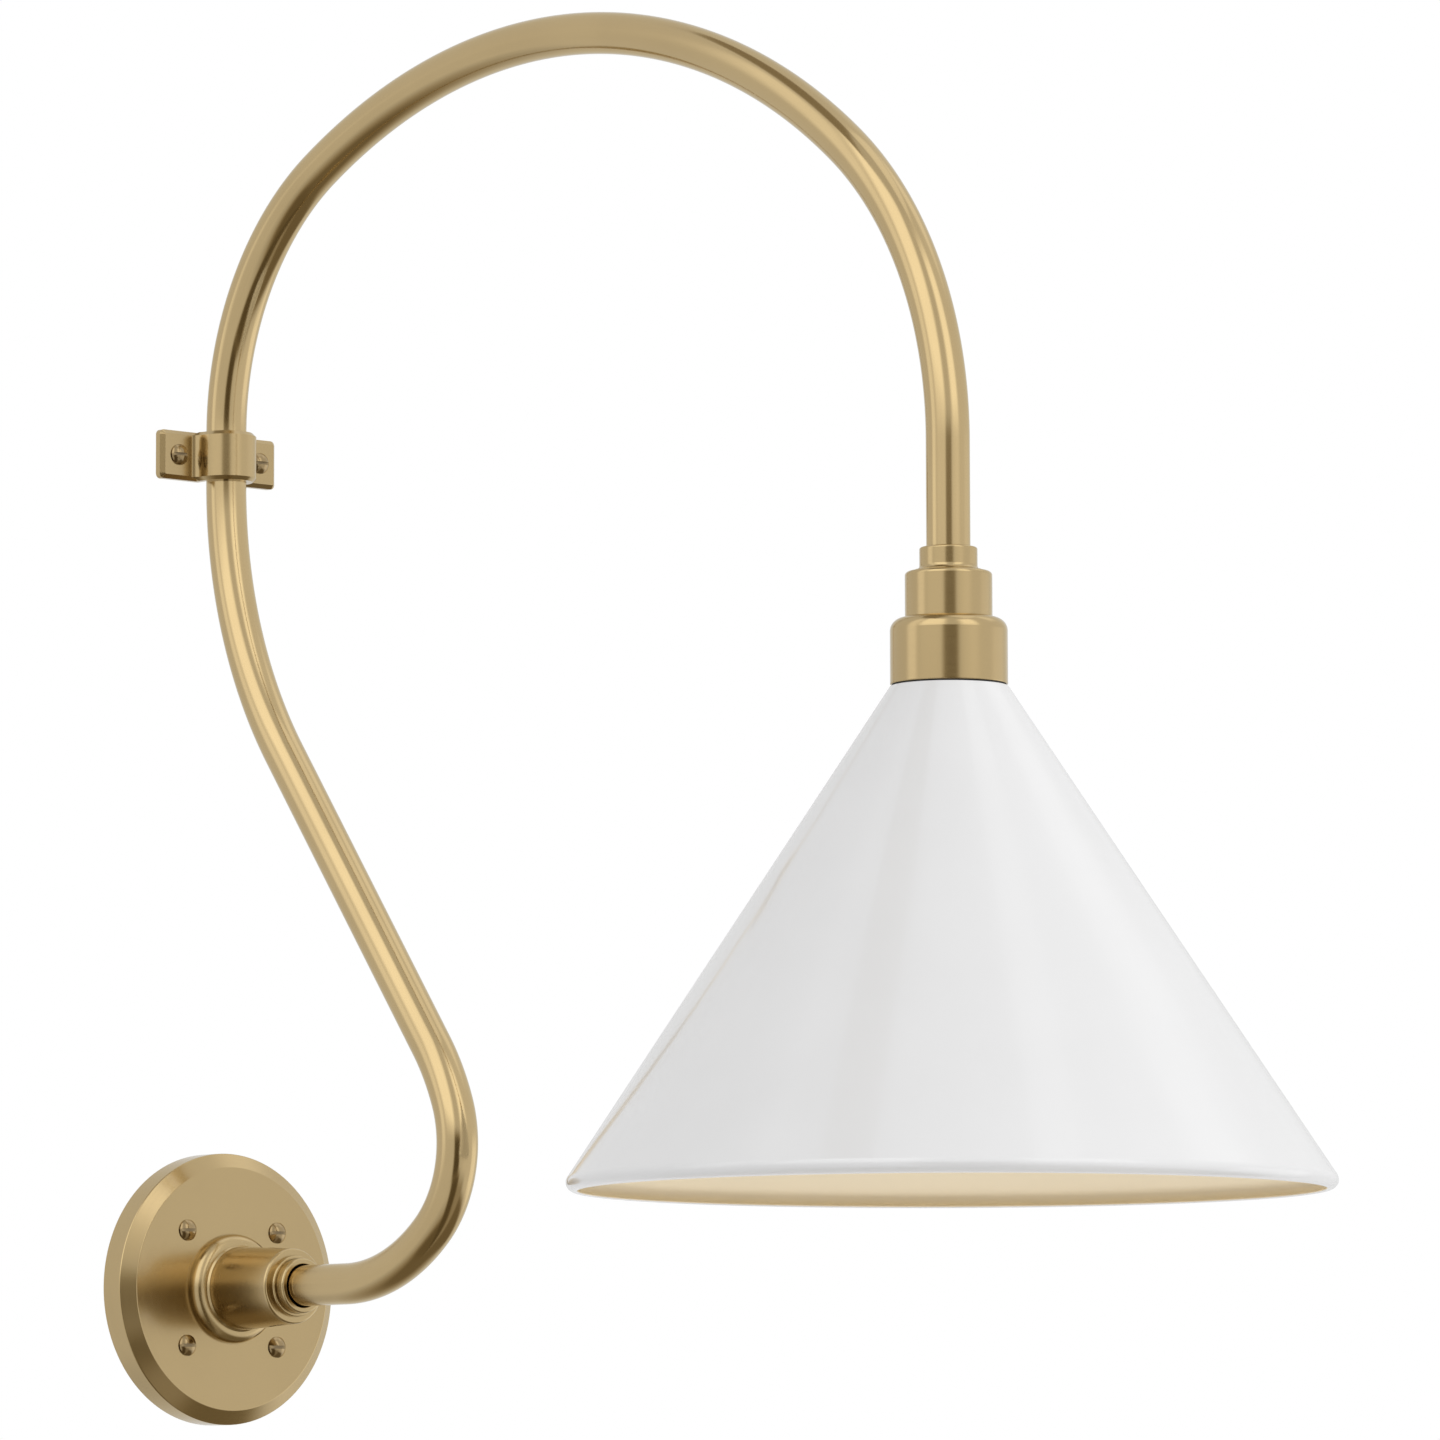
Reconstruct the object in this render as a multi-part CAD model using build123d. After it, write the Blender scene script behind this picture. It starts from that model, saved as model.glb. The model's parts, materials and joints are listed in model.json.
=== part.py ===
"""Gooseneck wall light: round backplate, bent arm held by a wall saddle, hanging cone shade.

Millimetres. The origin is the centre of the backplate on the wall plane, -Y points away from
the wall and +Z is up. Turned parts are drawn as half outlines: (radius, distance from the wall)
for the parts on the backplate's axis and (radius, height) for the parts on the shade's axis.
"""
from build123d import *
import math
import os

# ---- driving dimensions ----
# backplate and what is fixed to it
PLATE_R = 63.5
PLATE_SIDE = 12.0  # depth of the backplate's cylindrical edge
PLATE_FACE_R = 56.8  # radius of the flat front face, inside the bevel
PLATE_DEPTH = 16.4
PLATE_WALL = 2.0
STRAP_R = 55.0  # mounting plate behind the backplate
STRAP_THICK = 2.0
WIRE_HOLE_R = 14.0
PILLAR_R = 4.0
WASHER = (12.5, 1.2)  # radius and thickness
LOCK_NUT = (22.0, 3.6)  # across flats and thickness
BOX_SCREW_SPACING = 89.0
BOX_SLOT = (14.0, 4.8)  # length and width
PLATE_SCREW_HALF = 26.8  # the four screws stand on a square of twice this
SCREW_HEAD_R = 4.9
SCREW_HEAD_HIGH = 3.1
SCREW_CHEEK = 0.6  # straight edge under the screw's dome
SCREW_SLOT = (1.4, 1.9)  # width and depth
SCREW_R = 1.9

# socket that carries the arm
BEAD_R = 25.5
BEAD_HIGH = 6.3
SOCKET_R = (19.5, 17.5)  # at the bead and at the mouth
SOCKET_LONG = 45.8
COLLAR_STEP = (14.2, 2.2)  # radius and height of the step on the mouth
FERRULE_R = 12.7
FERRULE_PROUD = 4.8
STEM_R = 7.5
STEM_BORE_R = 5.5
STEM_END = 9.0  # distance of the stem's end from the wall
FERRULE_SEAT = 5.0  # length of ferrule inside the socket
FERRULE_MOUTH = (0.6, 5.0)  # gap round the tube at the ferrule's mouth and its depth

# arm tube
TUBE_R = 9.5
TUBE_BORE_R = 8.0
TUBE_START = 20.2  # distance of the tube's end from the wall
TUBE_OFF_WALL = 9.7  # centreline to wall at the saddle
FIT = 0.1  # radial clearance of a tube in its seat
SADDLE_Z = 393.0
SADDLE_RUN = 24.0  # straight length of tube inside the saddle
LOWER_BENDS = [(93.0, 41.0), (51.5, 70.0), (110.0, 16.0)]  # radius, degrees, from the socket up
WALL_BEND_R = 219.0
ARCH_BENDS = [(134.0, 61.0), (322.0, 69.0), (178.0, 50.0)]  # from the saddle over the top

# wall saddle
SADDLE_HALF = (34.7, 11.6)  # half width along the wall, half height
SADDLE_FLANGE = 4.8
SADDLE_HUMP_R = 14.2
SADDLE_CORNER_R = 2.4  # corners of the feet, seen from the front
SADDLE_EDGE = 1.9  # chamfer round the front of the feet
SADDLE_END_EDGE = 1.7  # chamfer at the ends of the hump
SADDLE_FLARE_R = 5.0  # hollow between hump and feet
SADDLE_SCREW_X = 24.4
WALL_THREAD_R = 2.2
WALL_THREAD_LONG = 5.0  # full thread behind the wall plane
WALL_POINT_LONG = 3.5
NECK_PROUD = 0.5  # plain neck of a saddle screw behind the wall plane

# fitter and shade, on the shade's axis
SHADE_TOP_Z = 244.2
SHADE_RIM_Z = 27.8
SHADE_TOP_R = 25.3
SHADE_ANGLE = 33.4  # cone side from its axis
SHADE_WALL = 1.2
SHADE_HOLE_R = 20.5
RING_R = (22.9, 23.9)  # shade ring, at its grip and at its lip
RING_HIGH = 6.1
RING_LIP = 1.4
RING_NOTCHES = 12
RIM_ROUND = 4.0
RIM_TURN_IN = 8.4
CAP_R = 25.3
CAP_TOP_Z = 273.5
BODY_R = 18.8
BODY_TOP_Z = 293.5
COLLAR_R = 12.5
COLLAR_TOP_Z = 304.0
COLLAR_FOOT = (15.1, 0.6)  # radius and height of the collar's spread foot
BODY_WALL = 2.2
CAP_WALL = 1.8
CAP_SEAM = 0.6  # gap between cap and shade, with the gasket in it
CAP_ROUND = 5.6
NIPPLE_NUT = (14.0, 2.6)  # across flats and thickness
BUSH_LONG = 14.0
NIPPLE_REACH = (7.0, 12.0)  # into the lampholder and past the tube's end
TUBE_END_Z = 294.0
NIPPLE_R = 4.9
NIPPLE_BORE_R = 3.6
GAP = 0.3  # between bodies that move on each other

# lampholder and bulb
HOLDER_R = 19.4
HOLDER_TOP_Z = 266.0
HOLDER_SPLIT_Z = 250.0
HOLDER_END_Z = 206.0
HOLDER_CROWN_R = 11.0  # flat top of the dome
DOME_WALL = 2.4
DOME_TOP_THICK = 5.0
FLOOR_Z = (241.0, 245.0)  # underside and top of the floor that carries the contacts
SHELL_R = 13.9
SHELL_LOW_Z = 211.0
SHELL_HOLE_R = 8.0
SHELL_WALL = 0.5
STRIP = (9.0, 4.0, 0.5)  # sprung contact strip
BUTTON_R = 1.8
POST = (1.5, 5.2)  # terminal post, radius and length
TERMINAL_HEAD = (2.6, 3.4)
TERMINAL_SLOT = (0.7, 0.8)  # width and depth
BASE_R = 13.1
BASE_LOW_Z = 210.0
GLOBE_R = 30.0
GLOBE_Z = 164.0
GLASS_WALL = 0.8
GLOBE_TURN = 38.0  # degrees above its middle where the ball takes over from the neck
BASE_HIGH = 24.0
BASE_PITCH = 3.6
BASE_RIDGES = 5
BULB_TOP_Z = 238.5
TIP = (3.2, 1.2)  # contact at the base's end, radius and thickness
STEM_TOP_Z = 211.5
STEM_TIP_Z = 176.0
STRIP_LIGHTS = (4, 9.0, 34.0)  # light strips: number, distance from the axis, length
WIRE_R = 1.1
WIRE_OFFSET = 1.3  # each core from the tube's centreline
TERMINAL_X = 9.0
CAVITY_MID = 7.0  # distance of the wires from the wall, behind the backplate
CONNECTOR_X = 13.0
CONNECTOR_LONG = 17.0
EARTH_DROP = 36.0

# ---- planes and axes ----
ARM_PLANE = Plane(origin=(0, 0, 0), x_dir=(0, -1, 0), z_dir=(-1, 0, 0))
WALL_TURN = Plane(origin=(0, 0, 0), x_dir=(1, 0, 0), z_dir=(0, 0, -1))


# ---- helpers ----
def outline(corners):
    """Closed flat outline through corners (x, y) or (x, y, rounding radius)."""
    face = make_face(Polyline(*[corner[:2] for corner in corners], close=True))
    for corner in corners:
        if len(corner) == 3:
            vertex = face.vertices().sort_by_distance(corner[:2])[0]
            face = fillet(vertex, corner[2])
    return face


def on_wall_axis(corners):
    """Turned solid on the backplate's axis from (radius, distance from the wall)."""
    return revolve(WALL_TURN * outline(corners), Axis.Y)


def on_shade_axis(corners):
    """Turned solid on the shade's axis from (radius, height)."""
    return revolve(SHADE_PLANE * outline(corners), SHADE_AXIS)


def from_wall(x, distance, z):
    """Location whose +Z looks away from the wall, at a distance from the wall plane."""
    return Plane(origin=(x, -distance, z), x_dir=(1, 0, 0), z_dir=(0, -1, 0)).location


def at_shade(z):
    """Upright location on the shade's axis."""
    return Location((0, -REACH, z))


def rod(radius, length):
    """Cylinder standing on its base."""
    return Cylinder(radius, length, align=(Align.CENTER, Align.CENTER, Align.MIN))


def hex_nut(across_flats, thick, bore_r):
    """Six-sided nut standing on its base, its corners turned down."""
    corner_r = across_flats / math.sqrt(3)
    blank = extrude(RegularPolygon(corner_r, 6), thick)
    turned = chamfer(rod(corner_r, thick).edges().filter_by(GeomType.CIRCLE), 0.12 * thick)
    return (blank & turned) - rod(bore_r, thick)


def slotted_screw(shank_long):
    """Round-head slotted screw: head above the base plane, shank below it."""
    crown = SCREW_HEAD_HIGH - SCREW_CHEEK
    ball_r = (SCREW_HEAD_R**2 + crown**2) / (2 * crown)
    half = [
        (0, SCREW_CHEEK),
        (SCREW_HEAD_R, SCREW_CHEEK),
        (SCREW_HEAD_R, 0),
        (SCREW_R, 0),
        (SCREW_R, -shank_long),
        (0, -shank_long),
    ]
    body = revolve(Plane.XZ * outline(half), Axis.Z)
    dome = Pos(0, 0, SCREW_HEAD_HIGH - ball_r) * Sphere(ball_r)
    dome &= Pos(0, 0, SCREW_CHEEK) * rod(SCREW_HEAD_R, SCREW_HEAD_HIGH)
    slot_wide, slot_deep = SCREW_SLOT
    slot = Pos(0, 0, SCREW_HEAD_HIGH) * Box(3 * SCREW_HEAD_R, slot_wide, 2 * slot_deep)
    return body + dome - slot


def tube_along(path, radius, bore_r=0.0):
    """Round bar or tube swept along a chain of lines and tangent arcs."""
    start = Plane(origin=path @ 0, z_dir=path % 0)
    section = Circle(radius) - Circle(bore_r) if bore_r else Circle(radius)
    return sweep(start * section, path=path)


# ---- arm route, drawn in (distance from the wall, height) ----
def bend_chain(start, heading, bends, side):
    """Tangent arcs one after the other; side is 1 to turn left and -1 to turn right."""
    arcs = []
    for radius, degrees in bends:
        arc = JernArc(start, heading, radius, side * degrees)
        arcs.append(arc)
        start, heading = arc @ 1, arc % 1
    return arcs


def arm_route():
    """Edges from the socket to the fitter: out, back to the wall, up and over the arch."""
    up = Vector(0, 1)
    low = Vector(TUBE_OFF_WALL, SADDLE_Z - SADDLE_RUN / 2)
    high = Vector(TUBE_OFF_WALL, SADDLE_Z + SADDLE_RUN / 2)
    arch = bend_chain(high, up, ARCH_BENDS, -1)

    # the wall bend and the lower bends, drawn at the origin and then moved into place
    swing = sum(degrees for _, degrees in LOWER_BENDS) - 90
    wall_bend = JernArc(low, -up, WALL_BEND_R, swing)
    lower = bend_chain(Vector(0, 0), Vector(1, 0), LOWER_BENDS, 1)
    slant_down = wall_bend % 1
    rise = (wall_bend @ 1).Y - (lower[-1] @ 1).Y
    slant_end = wall_bend @ 1 + slant_down * (rise / -slant_down.Y)
    shift = Vector((slant_end - lower[-1] @ 1).X, 0)
    lower = bend_chain(shift, Vector(1, 0), LOWER_BENDS, 1)

    fitter_end = Vector((arch[-1] @ 1).X, TUBE_END_Z)
    return [
        Line((TUBE_START, 0), shift),
        *lower,
        Line(lower[-1] @ 1, wall_bend @ 1),
        JernArc(wall_bend @ 1, -(wall_bend % 1), WALL_BEND_R, -swing),
        Line(low, high),
        *arch,
        Line(arch[-1] @ 1, fitter_end),
    ]


ARM_ROUTE = arm_route()
REACH = (ARM_ROUTE[-1] @ 1).X  # shade axis to wall
SHADE_AXIS = Axis((0, -REACH, 0), (0, 0, 1))
SHADE_PLANE = Plane(origin=(0, -REACH, 0), x_dir=(1, 0, 0), z_dir=(0, -1, 0))
SHADE_SLOPE = math.tan(math.radians(SHADE_ANGLE))


# ---- backplate ----
def corners_of_square(half):
    """(x, z) of the four corners of a square about the origin."""
    return [(x, z) for x in (-half, half) for z in (-half, half)]


def backplate():
    side = PLATE_R - PLATE_WALL
    inside = PLATE_DEPTH - PLATE_WALL
    dish = on_wall_axis([
        (STEM_R + FIT, PLATE_DEPTH),
        (PLATE_FACE_R, PLATE_DEPTH, 0.8),
        (PLATE_R, PLATE_SIDE, 0.8),
        (PLATE_R, 0),
        (side, 0),
        (side, PLATE_SIDE - 1.2),
        (PLATE_FACE_R - 1.2, inside),
        (STEM_R + FIT, inside),
    ])
    for x, z in corners_of_square(PLATE_SCREW_HALF):
        dish -= from_wall(x, inside - 1, z) * rod(SCREW_R + FIT, PLATE_WALL + 2)
    return dish


def mounting_plate():
    """Steel plate fixed to the wall box, with a wire hole and two slots for the box screws."""
    plate = from_wall(0, 0, 0) * (rod(STRAP_R, STRAP_THICK) - rod(WIRE_HOLE_R, STRAP_THICK))
    slot = extrude(SlotOverall(*BOX_SLOT), STRAP_THICK)
    for side in (-1, 1):
        plate -= from_wall(side * BOX_SCREW_SPACING / 2, 0, 0) * slot
    for x, z in corners_of_square(PLATE_SCREW_HALF):
        plate -= from_wall(x, 0, z) * rod(SCREW_R + FIT, STRAP_THICK)
    return plate - from_wall(0, 0, -EARTH_DROP) * rod(SCREW_R + FIT, STRAP_THICK)


def plate_pillars():
    """Four tapped pillars between mounting plate and backplate."""
    long = PLATE_DEPTH - PLATE_WALL - STRAP_THICK
    pillar = rod(PILLAR_R, long) - rod(SCREW_R + FIT / 2, long)
    return [from_wall(x, STRAP_THICK, z) * pillar for x, z in corners_of_square(PLATE_SCREW_HALF)]


def plate_screws():
    screw = slotted_screw(PLATE_DEPTH - 2 * STRAP_THICK)
    return [from_wall(x, PLATE_DEPTH, z) * screw for x, z in corners_of_square(PLATE_SCREW_HALF)]


# ---- socket ----
SOCKET_END = PLATE_DEPTH + SOCKET_LONG
FERRULE_BACK = SOCKET_END - FERRULE_SEAT


def arm_flange():
    """Beaded socket with a hollow threaded stem that passes through the backplate."""
    bead_top = PLATE_DEPTH + BEAD_HIGH
    step_r, step_high = COLLAR_STEP
    return on_wall_axis([
        (STEM_BORE_R, STEM_END),
        (STEM_R, STEM_END, 0.8),
        (STEM_R, PLATE_DEPTH),
        (BEAD_R, PLATE_DEPTH),
        (BEAD_R, bead_top, BEAD_HIGH - 1.2),
        (SOCKET_R[0] + 0.7, bead_top),
        (SOCKET_R[0], bead_top + 0.9),
        (SOCKET_R[1], SOCKET_END, 1.2),
        (step_r, SOCKET_END),
        (step_r, SOCKET_END + step_high, 0.7),
        (FERRULE_R + FIT, SOCKET_END + step_high),
        (FERRULE_R + FIT, FERRULE_BACK),
        (TUBE_R + FIT, FERRULE_BACK),
        (TUBE_R + FIT, TUBE_START),
        (STEM_BORE_R, TUBE_START),
    ])


def socket_ferrule():
    front = SOCKET_END + COLLAR_STEP[1] + FERRULE_PROUD
    mouth_gap, mouth_deep = FERRULE_MOUTH
    mouth_r = TUBE_R + mouth_gap
    return on_wall_axis([
        (TUBE_R + FIT, FERRULE_BACK),
        (FERRULE_R, FERRULE_BACK),
        (FERRULE_R, front, 1.0),
        (mouth_r, front, 0.4),
        (mouth_r, front - mouth_deep),
        (TUBE_R + FIT, front - mouth_deep - 1.0),
    ])


def flange_washer():
    radius, thick = WASHER
    ring = rod(radius, thick) - rod(STEM_R + FIT, thick)
    return from_wall(0, PLATE_DEPTH - PLATE_WALL - thick, 0) * ring


def flange_lock_nut():
    across_flats, thick = LOCK_NUT
    nut = hex_nut(across_flats, thick, STEM_R + FIT / 2)
    return from_wall(0, PLATE_DEPTH - PLATE_WALL - WASHER[1] - thick, 0) * nut


# ---- arm and wall saddle ----
def arm_tube():
    path = ARM_PLANE * Wire(ARM_ROUTE)
    tube = tube_along(path, TUBE_R, TUBE_BORE_R)
    bar = path.length * math.pi * (TUBE_R**2 - TUBE_BORE_R**2)
    print("arm length", round(path.length, 1), "volume ratio", round(tube.volume / bar, 5))
    return tube


def wall_saddle():
    """Flat feet each side of a hump bored for the tube, open towards the wall."""
    half_x, half_z = SADDLE_HALF
    face = RectangleRounded(2 * half_x, 2 * half_z, SADDLE_CORNER_R)
    feet = from_wall(0, 0, SADDLE_Z) * extrude(face, SADDLE_FLANGE)
    feet = chamfer(feet.faces().sort_by(Axis.Y)[0].edges(), SADDLE_EDGE)

    # hump in plan: a round nose with straight cheeks that flare into the feet
    nose = Pos(0, TUBE_OFF_WALL) * Circle(SADDLE_HUMP_R)
    cheeks = Pos(0, TUBE_OFF_WALL / 2) * Rectangle(2 * SADDLE_HUMP_R, TUBE_OFF_WALL)
    flare_low = SADDLE_FLANGE - 0.6  # starts inside the feet
    flare_x = SADDLE_HUMP_R + SADDLE_FLARE_R
    flare = Pos(0, flare_low + SADDLE_FLARE_R / 2) * Rectangle(2 * flare_x, SADDLE_FLARE_R)
    for side in (-1, 1):
        flare -= Pos(side * flare_x, flare_low + SADDLE_FLARE_R) * Circle(SADDLE_FLARE_R)
    hump = extrude(nose + cheeks + flare, 2 * half_z)
    ends = hump.faces().sort_by(Axis.Z)
    hump = chamfer(ends[0].edges() + ends[-1].edges(), SADDLE_END_EDGE)
    place = Plane(origin=(0, 0, SADDLE_Z - half_z), x_dir=(-1, 0, 0), z_dir=(0, 0, 1))
    block = feet + place.location * hump

    through = 2 * half_z + 2
    bore_r = TUBE_R + FIT
    block -= Pos(0, -TUBE_OFF_WALL, SADDLE_Z - through / 2) * rod(bore_r, through)
    block -= Pos(0, 0, SADDLE_Z) * Box(2 * bore_r, 2 * TUBE_OFF_WALL, through)
    for side in (-1, 1):
        hole = rod(WALL_THREAD_R + FIT, SADDLE_FLANGE + 2)
        block -= from_wall(side * SADDLE_SCREW_X, -1, SADDLE_Z) * hole
    return block


def saddle_screws():
    """Screws with a plain neck through the saddle's feet and a pointed thread in the wall."""
    neck = SADDLE_FLANGE + NECK_PROUD
    long = WALL_THREAD_LONG - NECK_PROUD
    half = [(0, 0), (WALL_THREAD_R, 0), (WALL_THREAD_R, -long), (0, -long - WALL_POINT_LONG)]
    thread = revolve(Plane.XZ * outline(half), Axis.Z)
    screw = slotted_screw(neck) + Pos(0, 0, -neck) * thread
    return [from_wall(side * SADDLE_SCREW_X, SADDLE_FLANGE, SADDLE_Z) * screw for side in (-1, 1)]


# ---- fitter ----
def fitter_collar():
    seat_r = TUBE_R + FIT
    foot_r, foot_high = COLLAR_FOOT
    return on_shade_axis([
        (seat_r, BODY_TOP_Z),
        (foot_r, BODY_TOP_Z),
        (foot_r, BODY_TOP_Z + foot_high),
        (COLLAR_R, BODY_TOP_Z + foot_high, 2.2),
        (COLLAR_R, COLLAR_TOP_Z, 0.9),
        (seat_r, COLLAR_TOP_Z, 0.4),
    ])


def fitter_body():
    return on_shade_axis([
        (NIPPLE_R + FIT, BODY_TOP_Z),
        (BODY_R, BODY_TOP_Z, 1.7),
        (BODY_R, CAP_TOP_Z),
        (BODY_R - BODY_WALL, CAP_TOP_Z),
        (BODY_R - BODY_WALL, BODY_TOP_Z - BODY_WALL),
        (NIPPLE_R + FIT, BODY_TOP_Z - BODY_WALL),
    ])


def shade_cap():
    low = SHADE_TOP_Z + CAP_SEAM
    return on_shade_axis([
        (NIPPLE_R + FIT, CAP_TOP_Z),
        (BODY_R + 0.4, CAP_TOP_Z),
        (CAP_R, CAP_TOP_Z, CAP_ROUND),
        (CAP_R, low, 0.5),
        (CAP_R - CAP_WALL, low),
        (CAP_R - CAP_WALL, CAP_TOP_Z - CAP_WALL, CAP_ROUND - CAP_WALL),
        (NIPPLE_R + FIT, CAP_TOP_Z - CAP_WALL),
    ])


def shade_gasket():
    thick = CAP_SEAM - FIT
    ring = rod(CAP_R - 0.7, thick) - rod(SHADE_HOLE_R + 0.5, thick)
    return at_shade(SHADE_TOP_Z + FIT) * ring


def tube_end_bush():
    bush = rod(TUBE_BORE_R - 0.02, BUSH_LONG) - rod(NIPPLE_R + FIT / 2, BUSH_LONG)
    return at_shade(TUBE_END_Z) * bush


def hanger_nipple():
    below, above = NIPPLE_REACH
    low = HOLDER_TOP_Z - below
    long = TUBE_END_Z + above - low
    return at_shade(low) * (rod(NIPPLE_R, long) - rod(NIPPLE_BORE_R, long))


def nipple_nuts():
    """One nut under the fitter body's top and one under the cap's."""
    across_flats, thick = NIPPLE_NUT
    nut = hex_nut(across_flats, thick, NIPPLE_R + FIT / 2)
    tops = (BODY_TOP_Z - BODY_WALL, CAP_TOP_Z - CAP_WALL)
    return [at_shade(top - thick) * nut for top in tops]


# ---- lampholder ----
def lampholder_dome():
    """Upper half of the lampholder, screwed on the nipple."""
    bore_r = NIPPLE_R + FIT / 2
    inner_r = HOLDER_R - DOME_WALL
    ceiling = HOLDER_TOP_Z - DOME_TOP_THICK
    return on_shade_axis([
        (bore_r, HOLDER_TOP_Z),
        (HOLDER_CROWN_R, HOLDER_TOP_Z, 1.5),
        (HOLDER_R, HOLDER_TOP_Z - 7, 4.0),
        (HOLDER_R, HOLDER_SPLIT_Z),
        (inner_r, HOLDER_SPLIT_Z),
        (inner_r, ceiling - 3),
        (HOLDER_CROWN_R - 1, ceiling),
        (bore_r, ceiling),
    ])


def lampholder_body():
    """Lower half: floor for the contacts and a skirt round the screw shell."""
    bore_r = SHELL_R + 0.4
    rim_r = HOLDER_R - 3.0
    floor_low, floor_high = FLOOR_Z
    body = on_shade_axis([
        (0, floor_high),
        (rim_r, floor_high),
        (rim_r, HOLDER_SPLIT_Z),
        (HOLDER_R, HOLDER_SPLIT_Z),
        (HOLDER_R, HOLDER_END_Z, 0.8),
        (bore_r, HOLDER_END_Z, 0.8),
        (bore_r, floor_low),
        (0, floor_low),
    ])
    for x in (-TERMINAL_X, TERMINAL_X):
        body -= Pos(x, -REACH, floor_low) * rod(POST[0] + FIT, floor_high - floor_low)
    return body


def screw_shell():
    """Threaded brass shell that the bulb's base turns into."""
    high = FLOOR_Z[0]
    inner_r = SHELL_R - SHELL_WALL
    return on_shade_axis([
        (inner_r, SHELL_LOW_Z),
        (SHELL_R, SHELL_LOW_Z),
        (SHELL_R, high),
        (SHELL_HOLE_R, high),
        (SHELL_HOLE_R, high - SHELL_WALL),
        (inner_r, high - SHELL_WALL),
    ])


def centre_contact():
    """Sprung strip under the holder's floor that the bulb's tip presses."""
    thick = STRIP[2]
    strip_z = FLOOR_Z[0] - FIT / 2 - thick / 2
    button_low = BULB_TOP_Z + 0.4
    button = at_shade(button_low) * rod(BUTTON_R, strip_z - button_low)
    return at_shade(strip_z) * Box(*STRIP) + button


def terminal_screws():
    """Two wire terminals standing on the holder's floor."""
    floor_low, floor_high = FLOOR_Z
    head_r, head_high = TERMINAL_HEAD
    slot_wide, slot_deep = TERMINAL_SLOT
    head = rod(head_r, head_high)
    head -= Pos(0, 0, head_high) * Box(3 * head_r, slot_wide, 2 * slot_deep)
    post = rod(*POST) + Pos(0, 0, floor_high - floor_low) * head
    return [Pos(x, -REACH, floor_low + FIT) * post for x in (-TERMINAL_X, TERMINAL_X)]


# ---- shade ----
def shade_ring():
    """Threaded ring with finger notches that holds the shade up on the lampholder."""
    grip_r, lip_r = RING_R
    high = SHADE_TOP_Z - SHADE_WALL - FIT
    low = high - RING_HIGH
    lip_z = high - RING_LIP
    ring = on_shade_axis([
        (HOLDER_R + GAP, low),
        (grip_r, low, 0.6),
        (grip_r, lip_z),
        (lip_r, lip_z),
        (lip_r, high),
        (HOLDER_R + GAP, high),
    ])
    notch = Pos(grip_r + 0.8, 0, 0) * rod(1.6, lip_z - low - 0.8)
    for step in range(RING_NOTCHES):
        ring -= at_shade(low) * Rot(0, 0, step * 360 / RING_NOTCHES) * notch
    return ring


def cone_r(z, inset=0.0):
    """Radius of the shade's outer cone at a height, less a wall measured square to it."""
    return SHADE_TOP_R + (SHADE_TOP_Z - z) * SHADE_SLOPE - inset / math.cos(math.radians(SHADE_ANGLE))


def shade():
    """Thin cone with a flat top round the lampholder and a rim turned in underneath."""
    lip_r = cone_r(SHADE_RIM_Z) - RIM_TURN_IN
    inner_low = SHADE_RIM_Z + SHADE_WALL
    inner_high = SHADE_TOP_Z - SHADE_WALL
    return on_shade_axis([
        (SHADE_HOLE_R, SHADE_TOP_Z),
        (SHADE_TOP_R, SHADE_TOP_Z, 0.8),
        (cone_r(SHADE_RIM_Z), SHADE_RIM_Z, RIM_ROUND),
        (lip_r, SHADE_RIM_Z, 0.4),
        (lip_r, inner_low, 0.4),
        (cone_r(inner_low, SHADE_WALL), inner_low, RIM_ROUND - SHADE_WALL),
        (cone_r(inner_high, SHADE_WALL), inner_high),
        (SHADE_HOLE_R, inner_high),
    ])


# ---- bulb ----
def bulb_glass():
    """Blown globe: a neck that swells into a ball, open at the top where the base holds it."""
    edges = []
    tops = []
    bottoms = []
    for inset in (0.0, GLASS_WALL):
        neck_r, ball_r = BASE_R - 1.4 - inset, GLOBE_R - inset
        centre = Vector(0, GLOBE_Z)
        ball = CenterArc(centre, ball_r, GLOBE_TURN, -90 - GLOBE_TURN)
        top, waist = Vector(neck_r, BASE_LOW_Z + 2), Vector(neck_r, BASE_LOW_Z - 2)
        swell = Bezier(waist, waist + Vector(0, -10), ball @ 0 - (ball % 0) * 12, ball @ 0)
        edges += [Line(top, waist), swell, ball]
        tops.append(top)
        bottoms.append(ball @ 1)
    edges += [Line(*tops), Line(*bottoms)]
    return revolve(SHADE_PLANE * make_face(Wire(edges)), SHADE_AXIS)


def bulb_base():
    """Screw base shell, with its thread as shallow rounded ridges."""
    high = BASE_LOW_Z + BASE_HIGH
    corners = [(BASE_R - 0.4, BASE_LOW_Z)]
    for turn in range(BASE_RIDGES):
        z = BASE_LOW_Z + 2.0 + turn * BASE_PITCH
        corners += [(BASE_R - 0.5, z), (BASE_R, z + BASE_PITCH / 2, 0.8)]
    corners += [
        (BASE_R - 0.6, high - 3.0),
        (10.5, high),
        (10.0, high),
        (BASE_R - 1.2, high - 3.2),
        (BASE_R - 1.2, BASE_LOW_Z),
    ]
    return on_shade_axis(corners)


def bulb_insulator():
    low, high = BASE_LOW_Z + BASE_HIGH - 1, BULB_TOP_Z - TIP[1]
    return on_shade_axis([(0, low), (9.0, low), (9.8, low + 1), (5.0, high), (0, high)])


def bulb_contact():
    return at_shade(BULB_TOP_Z - TIP[1]) * rod(*TIP)


def bulb_stem():
    """Glass stem that carries the light strips."""
    return on_shade_axis([
        (0, STEM_TOP_Z),
        (8.0, STEM_TOP_Z),
        (4.0, STEM_TOP_Z - 8.5, 4.0),
        (2.0, STEM_TIP_Z + 2, 3.0),
        (0, STEM_TIP_Z),
    ])


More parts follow.
